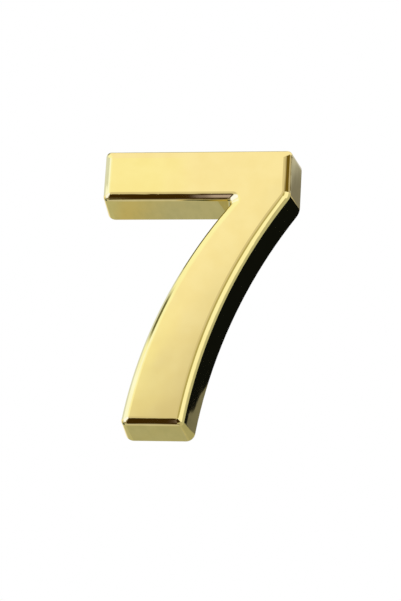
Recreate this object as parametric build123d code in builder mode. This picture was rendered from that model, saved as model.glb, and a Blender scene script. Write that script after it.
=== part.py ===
from build123d import *
import math
import os

# Self-adhesive house number 7, moulded in ABS and plated.
# Millimetres. X runs to the right and Z upwards on the door, and the face looks along -Y.
# The origin is the centre of the flat back, where the numeral meets the door.

# Outline on the back plane, where the numeral is widest
height = 50.0
width = 33.7
bar_height = 10.4
tip_height = 9.3
foot_width = 12.0
foot_inset = 5.6
throat_inset = 11.8
outer_radius = 87.5
inner_radius = 80.0

# Section, from the back plane to the face
depth = 8.0
draft_angle = 5.7
bevel_width = 1.05
bevel_depth = 0.55
face_edge_radius = 1.2
bevel_edge_radius = 0.8

# Upright corners on the back plane. As the outline draws in, the outer radii shrink by as much,
# down to a least radius at the face and in the hollow, and the throat's radius grows
corner_radius = 1.55
tip_radius = 3.0
throat_radius = 0.2
throat_growth = 0.5
face_least_radius = 0.35
hollow_least_radius = 0.6

# Hollow back
wall_thickness = 1.5
face_thickness = 1.7
rib_thickness = 1.0
rib_draft = 1.0
bar_rib_count = 2
stem_rib_count = 3

# Values that follow from the sizes above
flare = math.tan(math.radians(draft_angle))
bevel_plane = depth - bevel_depth
hollow_depth = depth - face_thickness
bevel_flare = flare * bevel_plane
top = height / 2
bottom = -height / 2
left = -width / 2
right = width / 2
bar_bottom = top - bar_height
foot_left = left + foot_inset
tip = Vector(right, top - tip_height)
heel = Vector(foot_left + foot_width, bottom)
throat = Vector(right - throat_inset, bar_bottom)

# Widest outline: a straight bar, and a stem between two arcs that narrows to the foot
with BuildSketch() as widest:
    with BuildLine():
        Polyline(throat, (left, bar_bottom), (left, top), (right, top), tip)
        outer_edge = RadiusArc(tip, heel, -outer_radius)
        Line(heel, (foot_left, bottom))
        inner_edge = RadiusArc((foot_left, bottom), throat, inner_radius)
    make_face()


def outline(distance, inset, least_radius):
    """Numeral's outline at a distance in front of the door, drawn in by inset all round."""
    with BuildSketch(Plane.XZ.offset(distance)) as section:
        add(widest.sketch_local)
        if inset > 0:
            offset(amount=-inset, kind=Kind.INTERSECTION)
        bar_and_foot = section.vertices().sort_by_distance(tip)[1:].sort_by_distance(throat)[1:]
        fillet(bar_and_foot, max(corner_radius - inset, least_radius))
        fillet(section.vertices().sort_by_distance(tip)[0], max(tip_radius - inset, least_radius))
        throat_radius_here = throat_radius + throat_growth * inset
        fillet(section.vertices().sort_by_distance(throat)[0], throat_radius_here)
    return section.sketch


# Ribs across the hollow: upright ones in the bar, the last at the throat, and in the stem
# ones that point at the centre of its outer arc, the first at the throat
outer_centre = outer_edge.arc_center
stem_width = inner_radius + (outer_centre - inner_edge.arc_center).length - outer_radius
throat_direction = throat - outer_centre
heel_direction = heel - outer_centre
throat_bearing = math.degrees(math.atan2(throat_direction.Y, throat_direction.X))
heel_bearing = math.degrees(math.atan2(heel_direction.Y, heel_direction.X))
bar_rib_step = (throat.X - left) / bar_rib_count

with BuildPart() as ribs:
    with BuildSketch(Plane.XZ):
        for number in range(1, bar_rib_count + 1):
            with Locations((left + number * bar_rib_step, top)):
                Rectangle(rib_thickness, bar_height, align=(Align.CENTER, Align.MAX))
        with Locations(outer_centre):
            with PolarLocations(
                outer_radius,
                stem_rib_count,
                start_angle=throat_bearing,
                angular_range=heel_bearing - throat_bearing,
            ):
                Rectangle(stem_width, rib_thickness, align=(Align.MIN, Align.CENTER))
    extrude(amount=hollow_depth, taper=-rib_draft)

# Space inside the walls and behind the face, less the ribs that cross it
with BuildPart() as hollow:
    add(outline(0, wall_thickness, hollow_least_radius))
    add(outline(hollow_depth, wall_thickness + flare * hollow_depth, hollow_least_radius))
    loft(ruled=True)
    add(ribs.part, mode=Mode.SUBTRACT)

# Drafted walls, the bevel round the face and the softened edges on both sides of it
with BuildPart() as numeral_seven:
    back_outline = outline(0, 0, face_least_radius)
    bevel_outline = outline(bevel_plane, bevel_flare, face_least_radius)
    face_outline = outline(depth, bevel_flare + bevel_width, face_least_radius)
    loft([back_outline, bevel_outline], ruled=True)
    loft([bevel_outline, face_outline], ruled=True)
    face_edges = numeral_seven.edges().group_by(Axis.Y)[0]
    fillet(face_edges, face_edge_radius)
    bevel_edges = numeral_seven.edges().filter_by_position(Axis.Y, -bevel_plane, -bevel_plane)
    fillet(bevel_edges, bevel_edge_radius)
    add(hollow.part, mode=Mode.SUBTRACT)
numeral_seven.part.label = "numeral_seven"

os.makedirs("parts", exist_ok=True)
export_step(numeral_seven.part, "parts/numeral_seven.step")
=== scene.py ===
import bpy
import math
from mathutils import Matrix, Vector

# Gold-plated door numeral 7 in a plain white studio, seen from below and a little from the right.
# Lengths are in metres and angles in degrees

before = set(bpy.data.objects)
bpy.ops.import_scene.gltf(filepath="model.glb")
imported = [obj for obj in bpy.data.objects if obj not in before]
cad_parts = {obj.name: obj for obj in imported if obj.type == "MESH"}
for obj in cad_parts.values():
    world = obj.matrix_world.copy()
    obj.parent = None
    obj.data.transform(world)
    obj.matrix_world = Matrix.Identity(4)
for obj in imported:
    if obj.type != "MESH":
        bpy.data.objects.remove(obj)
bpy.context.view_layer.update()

NODE = "numeral_seven"
WHITE = (1.0, 1.0, 1.0, 1.0)

# Camera, turned about the numeral's middle
AZIMUTH = 10.471
ELEVATION = -17.967
ROLL = 3.410
DISTANCE = 0.39857
FOCAL_PIXELS = 2335.6
IMAGE_HEIGHT = 601
SENSOR_HEIGHT = 24.0
TARGET = Vector((0.00047, 0.0, -0.00013))

# Floor, well below the numeral and the camera
FLOOR_HEIGHT = -0.16
FLOOR_SIZE = 4.0
FLOOR_COLOUR = (0.86, 0.86, 0.85, 1.0)
FLOOR_ROUGHNESS = 0.8

# Overhead lamp
LAMP_PLACE = Vector((-0.35, -0.45, 1.1))
LAMP_SIZE = 0.9
LAMP_ENERGY = 1.0

# Black card behind: its corners, across and up, and its distance from the numeral's back
FLAG = (
    (0.0298, -0.015),
    (0.038, -0.015),
    (0.058, 0.005),
    (0.06, 0.03),
    (0.044, 0.036),
    (0.0369, 0.0),
)
FLAG_DISTANCE = 0.06
FLAG_COLOUR = (0.0047, 0.006, 0.008, 1.0)

# Gold, bright outside and dull on the back rim and in the hollow. Noise scales are in cells a
# metre, and bump heights in metres
GOLD = (0.95, 0.77, 0.315, 1.0)
GOLD_PALE = (0.97, 0.8, 0.345, 1.0)
# Darker gold for random patches on the walls: painted reflection, in place of the patchy
# reflections that the walls mirror
GOLD_PAINTED_PATCH = (0.86, 0.72, 0.3, 1.0)
GOLD_DULL = (0.72, 0.56, 0.22, 1.0)
GOLD_DULL_PALE = (0.8, 0.63, 0.27, 1.0)
GOLD_GRAZING = (0.99, 0.93, 0.7, 1.0)
SHINE_ROUGHNESS = (0.015, 0.03)
DULL_ROUGHNESS = (0.3, 0.42)
RIPPLE_SCALE = 160.0
CLOUD_SCALE = 260.0
MOTTLE_SCALE = 700.0
MOTTLE_STRETCH = (1.0, 0.35, 1.0)
MOTTLE_STRENGTH = 0.75
GRAIN_SCALE = 2600.0
RIPPLE_HEIGHT = 1.1e-5
PITTING_HEIGHT = 2.0e-5
PITTING_STRENGTH = 0.6

# Plain cards on a sphere round the numeral, seen only in what reflects it. Bearing runs to the
# right from straight in front of the numeral, and height is up from level. Each card is full
# between its two middle edges and fades towards the outer ones. It leans to the right by so many
# degrees of bearing to one of height, and later cards lie over earlier ones:
# name, bearing edges, height edges, lean, colour
OPEN_LOW = (-400, -399)
OPEN_HIGH = (399, 400)
ALL_ROUND = (*OPEN_LOW, *OPEN_HIGH)
CARDS = (
    ("lower half", ALL_ROUND, (-100, -99, -8, 6), 0, (0.62, 0.62, 0.57)),
    ("lemon", (-35, -20, -11.9, -10.7), (10, 14, 24, 30), 0, (1.01, 1.04, 0.92)),
    ("face shade", (-26.5, -23, *OPEN_HIGH), (-100, -99, 20.5, 24), 0.83, (0.7, 0.68, 0.64)),
    ("lower ground", ALL_ROUND, (-100, -99, -20, -4), 0, (0.5, 0.51, 0.43)),
    ("low back", (*OPEN_LOW, -152, -140), (-40, -34, -31, -20), 0, (0.5, 0.48, 0.34)),
    ("low back left", (*OPEN_LOW, -167.7, -166.2), (-40, -34, -29, -25), 0, (0.43, 0.46, 0.46)),
    ("low back foot", (*OPEN_LOW, -160, -150), (-29, -26, -22, -14), 0, (0.42, 0.45, 0.41)),
    ("rear left", (-166.2, -165.6, -146, -140), (-36, -34, -8, 2), 0, (0.5, 0.53, 0.46)),
    ("rear left low", (-150.5, -148, -138, -130), (-20, -16, -6, -2), 0, (0.42, 0.5, 0.8)),
    ("low left", (*OPEN_LOW, -85, -70), (-100, -99, -58, -48), 0, (0.6, 0.62, 0.66)),
    ("low front", (-75, -55, 60, 90), (-100, -99, -66, -62), 0, (0.28, 0.27, 0.27)),
    ("under shadow", (-140, -122, -82, -65), (-60, -52, -32, -24), 0, (0.05, 0.08, 0.1)),
    ("left sky", (-180, -165, -72, -70), (12, 16, 62, 70), 0, (0.74, 0.87, 1.3)),
    ("left corner", (-180, -165, -73, -70.5), (37, 41, 60, 66), 0, (0.28, 0.3, 0.25)),
    ("key softbox", (-72, -70, -40, -16), (10, 14, 52, 62), 0, (1.02, 1.13, 1.12)),
    ("softbox low", (-72, -70, -50, -30), (10, 14, 24, 30), 0, (1.03, 1.2, 1.75)),
    ("left strip", (-68.62, -68.52, -67, -64), (20.55, 20.68, 21.3, 22.4), 0, (0.72, 0.85, 1.15)),
    ("left gap", (-73, -71, -68.8, -66.5), (28.8, 31.5, 34, 36.8), 0, (0.17, 0.18, 0.12)),
    ("low softbox", (-62, -57, -26, -18), (-24, -21, 5, 12), 0, (1.03, 1.2, 2.2)),
    ("low shade", (-62, -50, -14, -9), (-56, -44, -26, -22.5), 0, (0.28, 0.26, 0.24)),
    ("low dark", (-20, -15, -4, -2), (-71, -65, -18, -11), 0.2, (0.04, 0.022, 0.003)),
    ("low dark right", (27, 33, 47, 50), (-40, -38.5, -13, -8.5), 1.2, (0.04, 0.022, 0.003)),
    ("foot glint", (-13.9, -13.65, 2, 6), (-40.6, -39.8, -38.8, -38.4), 0, (0.27, 0.23, 0.3)),
    ("low edge", (-12.3, -11.6, -9, -7), (-34.5, -34.3, -33.4, -33), 0, (0.45, 0.4, 0.6)),
    ("olive panel", (12, 19, 30, 35), (-8, 0, 10, 22), 0, (0.48, 0.46, 0.28)),
    ("fill strip", (36.5, 40.5, 60, 80), (-16, -12, 18, 20), 0, (1.05, 1.12, 1.16)),
    ("fill low", (22, 30, 52, 66), (-16, -12, -4, 2), 0, (1.05, 1.12, 1.16)),
    ("right panel", (64, 86, 146, 149), (-30, -24, 8, 16), 0, (0.52, 0.56, 0.52)),
    ("brown panel", (13, 47, 62, 70), (18, 20.4, 30, 40), 0, (0.15, 0.11, 0.02)),
    ("side lamp", (68, 76, 92, 112), (18, 20.4, 26, 32), 0, (0.5, 0.48, 0.5)),
    ("back right", (92, 112, 158, 162), (18, 20, 26, 34), 0, (0.2, 0.19, 0.19)),
    ("end low", (152, 156, 166, 180), (14, 17, 30, 40), 0, (0.22, 0.23, 0.29)),
    ("end top", (80, 90, 127.8, 129.2), (20.2, 20.6, 40, 50), 1.5, (0.52, 0.57, 0.78)),
    ("rear top", (155, 162, 166, 180), (22, 23, 50, 60), 0, (0.55, 0.62, 1)),
    ("end shade", (100, 112, 152, 158), (18.5, 19.5, 20.8, 21.25), 0, (0.08, 0.055, 0.02)),
    ("foot corner", (149, 150.5, *OPEN_HIGH), (-30, -24, 9.8, 12), 0, (0.4, 0.42, 0.35)),
    ("foot patch", (149, 151, 156, 160), (2, 6, 9.9, 10.6), 0, (0.18, 0.19, 0.21)),
)


def make_camera():
    """Camera at the photograph's angle: azimuth round the vertical, elevation, then roll."""
    azimuth, elevation, roll = (math.radians(angle) for angle in (AZIMUTH, ELEVATION, ROLL))
    level = Vector((math.cos(azimuth), math.sin(azimuth), 0.0))
    back = Vector((
        math.sin(azimuth) * math.cos(elevation),
        -math.cos(azimuth) * math.cos(elevation),
        math.sin(elevation),
    ))
    rise = back.cross(level)
    right = level * math.cos(roll) + rise * math.sin(roll)
    up = rise * math.cos(roll) - level * math.sin(roll)
    data = bpy.data.cameras.new("camera")
    data.sensor_fit = "VERTICAL"
    data.sensor_height = SENSOR_HEIGHT
    data.lens = FOCAL_PIXELS * SENSOR_HEIGHT / IMAGE_HEIGHT
    camera = bpy.data.objects.new("camera", data)
    bpy.context.scene.collection.objects.link(camera)
    turn = Matrix((right, up, back)).transposed().to_4x4()
    camera.matrix_world = Matrix.Translation(TARGET + back * DISTANCE) @ turn
    bpy.context.scene.camera = camera


class Nodes:
    """Short calls for building a node tree."""

    def __init__(self, tree):
        self.tree = tree
        tree.nodes.clear()

    def new(self, kind, **settings):
        node = self.tree.nodes.new(kind)
        for name, value in settings.items():
            setattr(node, name, value)
        return node

    def link(self, source, target):
        self.tree.links.new(source, target)

    def put(self, value, socket):
        """Links an output, or sets a plain value."""
        if isinstance(value, bpy.types.NodeSocket):
            self.link(value, socket)
        else:
            socket.default_value = value

    def math(self, operation, a, b=0.0):
        node = self.new("ShaderNodeMath", operation=operation)
        self.put(a, node.inputs[0])
        self.put(b, node.inputs[1])
        return node.outputs[0]

    def split(self, vector):
        node = self.new("ShaderNodeSeparateXYZ")
        self.link(vector, node.inputs[0])
        return node.outputs

    def ramp(self, value, start, end, low=0.0, high=1.0):
        """Smooth step of a value, from low at start to high at end."""
        node = self.new("ShaderNodeMapRange", interpolation_type="SMOOTHSTEP")
        self.put(value, node.inputs["Value"])
        settings = {"From Min": start, "From Max": end, "To Min": low, "To Max": high}
        for name, number in settings.items():
            node.inputs[name].default_value = number
        return node.outputs["Result"]

    def band(self, value, edges):
        """One between the two middle edges, falling smoothly to nothing at the outer ones."""
        rise_from, rise_to, fall_from, fall_to = edges
        rise = self.ramp(value, rise_from, rise_to)
        return self.math("MULTIPLY", rise, self.ramp(value, fall_from, fall_to, 1.0, 0.0))

    def mix(self, factor, a, b, label=""):
        """Colour a where the factor is nothing, and b where it is one."""
        node = self.new("ShaderNodeMix", data_type="RGBA", label=label)
        colour_a, colour_b = (s for s in node.inputs if s.type == "RGBA")
        self.put(factor, node.inputs[0])
        self.put(a, colour_a)
        self.put(b, colour_b)
        return next(s for s in node.outputs if s.type == "RGBA")

    def noise(self, vector, scale, detail, roughness=0.5):
        node = self.new("ShaderNodeTexNoise")
        self.link(vector, node.inputs["Vector"])
        node.inputs["Scale"].default_value = scale
        node.inputs["Detail"].default_value = detail
        node.inputs["Roughness"].default_value = roughness
        return node.outputs["Fac"]


def degrees(n, operation, *values):
    """Result of an inverse trigonometric operation, in degrees."""
    return n.math("MULTIPLY", n.math(operation, *values), 180 / math.pi)


def make_world():
    """Plain white studio, with the cards in its place for what reflects it."""
    world = bpy.data.worlds.new("studio")
    world.use_nodes = True
    world.cycles.sampling_method = "NONE"
    bpy.context.scene.world = world
    n = Nodes(world.node_tree)
    x, y, z = n.split(n.new("ShaderNodeTexCoord").outputs["Generated"])
    bearing = degrees(n, "ARCTAN2", x, n.math("MULTIPLY", y, -1.0))
    height = degrees(n, "ARCSINE", z)
    colour = WHITE
    for name, bearing_edges, height_edges, lean, tint in CARDS:
        across = bearing
        if lean:
            across = n.math("SUBTRACT", bearing, n.math("MULTIPLY", height, lean))
        card = n.math("MULTIPLY", n.band(across, bearing_edges), n.band(height, height_edges))
        colour = n.mix(card, colour, (*tint, 1.0), name)
    reflected = n.new("ShaderNodeLightPath").outputs["Is Glossy Ray"]
    background = n.new("ShaderNodeBackground")
    background.inputs["Strength"].default_value = 1.0
    n.link(n.mix(reflected, WHITE, colour), background.inputs["Color"])
    output = n.new("ShaderNodeOutputWorld")
    n.link(background.outputs[0], output.inputs["Surface"])


def make_flag():
    """Black card behind on the right, for the wall that runs down the stem."""
    corners = [(across, FLAG_DISTANCE, up) for across, up in FLAG]
    flag = make_sheet("flag", corners)
    material = bpy.data.materials.new("flag_cloth")
    material.use_nodes = True
    n = Nodes(material.node_tree)
    cloth = n.new("ShaderNodeEmission")
    cloth.inputs["Color"].default_value = FLAG_COLOUR
    n.link(cloth.outputs[0], n.new("ShaderNodeOutputMaterial").inputs["Surface"])
    flag.data.materials.append(material)
    flag.visible_camera = False
    flag.visible_diffuse = False
    flag.visible_shadow = False


def make_floor():
    """Plain pale floor, which the numeral doesn't mirror."""
    half = FLOOR_SIZE / 2
    corners = [(-half, -half, FLOOR_HEIGHT), (half, -half, FLOOR_HEIGHT),
               (half, half, FLOOR_HEIGHT), (-half, half, FLOOR_HEIGHT)]
    floor = make_sheet("floor", corners)
    material = bpy.data.materials.new("floor_paint")
    material.use_nodes = True
    shader = material.node_tree.nodes["Principled BSDF"]
    shader.inputs["Base Color"].default_value = FLOOR_COLOUR
    shader.inputs["Roughness"].default_value = FLOOR_ROUGHNESS
    floor.data.materials.append(material)
    floor.visible_glossy = False


def make_sheet(name, corners):
    """Flat object of one face."""
    mesh = bpy.data.meshes.new(name)
    mesh.from_pydata(corners, [], [range(len(corners))])
    sheet = bpy.data.objects.new(name, mesh)
    bpy.context.scene.collection.objects.link(sheet)
    return sheet


def make_lamp():
    """Large soft lamp overhead, for the floor's shadow."""
    data = bpy.data.lights.new("overhead", "AREA")
    data.shape = "DISK"
    data.size = LAMP_SIZE
    data.energy = LAMP_ENERGY
    lamp = bpy.data.objects.new("overhead", data)
    bpy.context.scene.collection.objects.link(lamp)
    turn = LAMP_PLACE.to_track_quat("Z", "Y").to_matrix().to_4x4()
    lamp.matrix_world = Matrix.Translation(LAMP_PLACE) @ turn
    lamp.visible_glossy = False


def gold_plating():
    """Mirror gold outside; on the back rim and in the hollow the same plating, but dull."""
    material = bpy.data.materials.new("gold_plating")
    material.use_nodes = True
    n = Nodes(material.node_tree)
    coordinates = n.new("ShaderNodeTexCoord")
    place = coordinates.outputs["Object"]
    facing_back = n.split(coordinates.outputs["Normal"])["Y"]
    inside = n.ramp(facing_back, -0.05, -0.01)
    outside = n.math("SUBTRACT", 1.0, inside)
    wall = n.ramp(facing_back, -0.8, -0.3, 0.0, MOTTLE_STRENGTH)

    cloud = n.noise(place, CLOUD_SCALE, 3.0)
    grain = n.noise(place, GRAIN_SCALE, 2.0)
    stretched = n.new("ShaderNodeMapping")
    stretched.inputs["Scale"].default_value = MOTTLE_STRETCH
    n.link(place, stretched.inputs["Vector"])
    mottle = n.noise(stretched.outputs["Vector"], MOTTLE_SCALE, 3.0, 0.6)

    bright = n.mix(n.ramp(cloud, 0.3, 0.7), GOLD, GOLD_PALE)
    # Darker gold patches at random on the walls: painted reflection, not the plating's own colour
    painted_patches = n.math("MULTIPLY", n.ramp(mottle, 0.35, 0.7), wall)
    bright = n.mix(painted_patches, bright, GOLD_PAINTED_PATCH)
    dull = n.mix(n.ramp(cloud, 0.35, 0.65), GOLD_DULL, GOLD_DULL_PALE)
    shine = n.math("MULTIPLY", n.ramp(cloud, 0.3, 0.7, *SHINE_ROUGHNESS), outside)
    satin = n.math("MULTIPLY", n.ramp(grain, 0.3, 0.7, *DULL_ROUGHNESS), inside)

    ripple = n.new("ShaderNodeBump")
    ripple.inputs["Strength"].default_value = 1.0
    ripple.inputs["Distance"].default_value = RIPPLE_HEIGHT
    n.link(n.noise(place, RIPPLE_SCALE, 1.0), ripple.inputs["Height"])
    pitting = n.new("ShaderNodeBump")
    pitting.inputs["Distance"].default_value = PITTING_HEIGHT
    n.link(n.math("MULTIPLY", inside, PITTING_STRENGTH), pitting.inputs["Strength"])
    n.link(grain, pitting.inputs["Height"])
    n.link(ripple.outputs["Normal"], pitting.inputs["Normal"])

    shader = n.new("ShaderNodeBsdfPrincipled")
    shader.inputs["Metallic"].default_value = 1.0
    shader.inputs["Specular Tint"].default_value = GOLD_GRAZING
    n.link(n.mix(inside, bright, dull), shader.inputs["Base Color"])
    n.link(n.math("ADD", shine, satin), shader.inputs["Roughness"])
    n.link(pitting.outputs["Normal"], shader.inputs["Normal"])
    output = n.new("ShaderNodeOutputMaterial")
    n.link(shader.outputs[0], output.inputs["Surface"])
    return material


make_camera()
make_world()
make_flag()
make_floor()
make_lamp()

plating = gold_plating()
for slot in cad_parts[NODE].material_slots:
    slot.material = plating

bpy.context.scene.view_settings.view_transform = "Standard"
